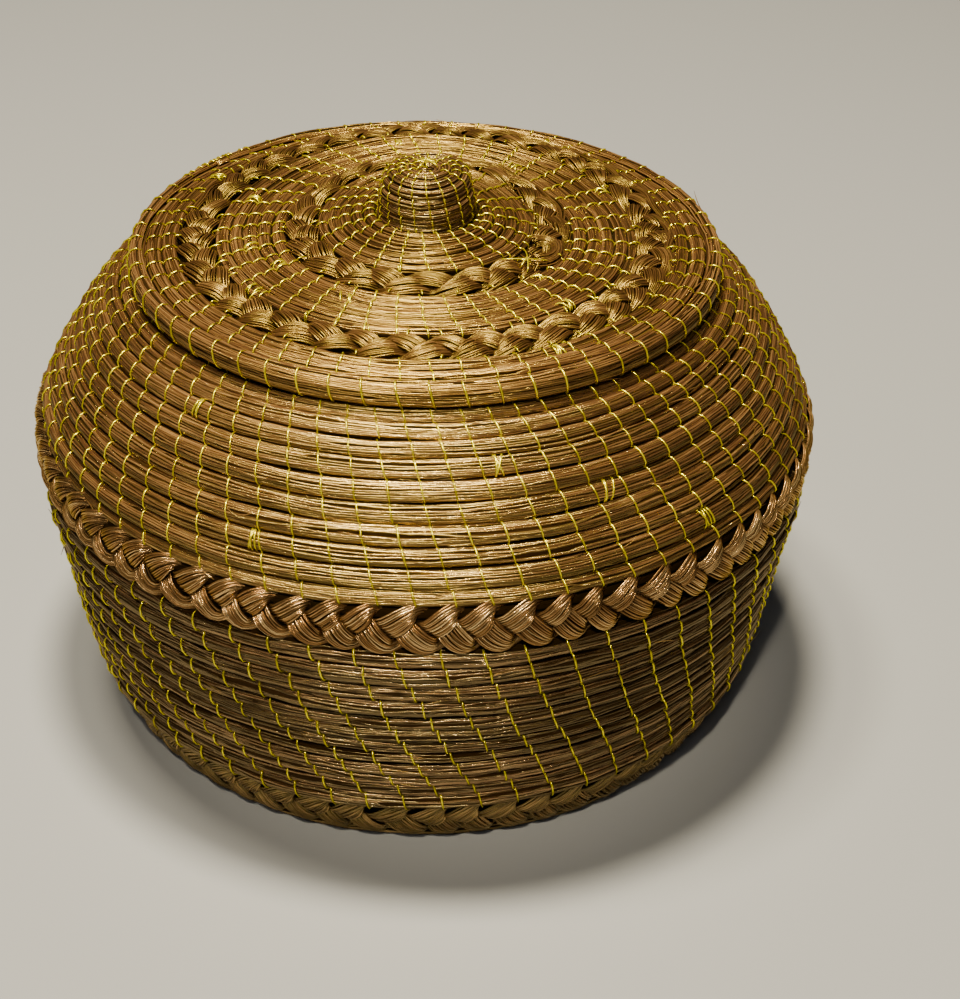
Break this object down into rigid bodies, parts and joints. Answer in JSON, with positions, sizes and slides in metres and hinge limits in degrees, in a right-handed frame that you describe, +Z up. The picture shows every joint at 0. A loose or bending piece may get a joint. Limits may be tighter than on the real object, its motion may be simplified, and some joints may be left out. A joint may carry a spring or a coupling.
{
  "type": "lidded basket",
  "caption": "Round coiled basket of long plant needles sewn with yellow thread, with plaited rings at foot, shoulder and lid, and a low lid with a coiled knob that lifts off.",
  "frame": {"origin": "middle of the flat bottom, on the surface that the basket stands on", "axes": "+Z up along the basket's axis; the basket is round, and the picture looks along +Y"},
  "size_m": [0.2162, 0.2162, 0.1537],
  "materials": {
    "bottom_needles": "coiled bundles of dry brown needles, satin",
    "foot_needles": "plaited dry brown needles, satin, darker",
    "lower_wall_needles": "coiled bundles of dry brown needles, satin",
    "upper_wall_needles": "coiled bundles of dry golden brown needles, satin",
    "braid_needles": "plaited dry golden needles, glossy",
    "lid_needles": "coiled bundles of dry golden brown needles, satin",
    "knob_needles": "coiled bundle of dry brown needles, satin"
  },
  "bodies": {
    "basket": {"bottom_coil": "bottom_needles", "foot_braid": "foot_needles", "lower_wall_coil": "lower_wall_needles", "shoulder_braid": "braid_needles", "upper_wall_coil": "upper_wall_needles"},
    "lid": {"lid_rim_coil": "lid_needles", "lid_seat_coil": "lid_needles", "lid_outer_coil": "lid_needles", "lid_outer_braid": "braid_needles", "lid_middle_coil": "lid_needles", "lid_inner_braid": "braid_needles", "lid_centre_coil": "lid_needles", "knob_coil": "knob_needles"}
  },
  "joints": [
    {"name": "lid_lift", "type": "slide", "parent": "basket", "child": "lid", "axis": [0, 0, 1], "range_m": [0, 0.12]}
  ]
}
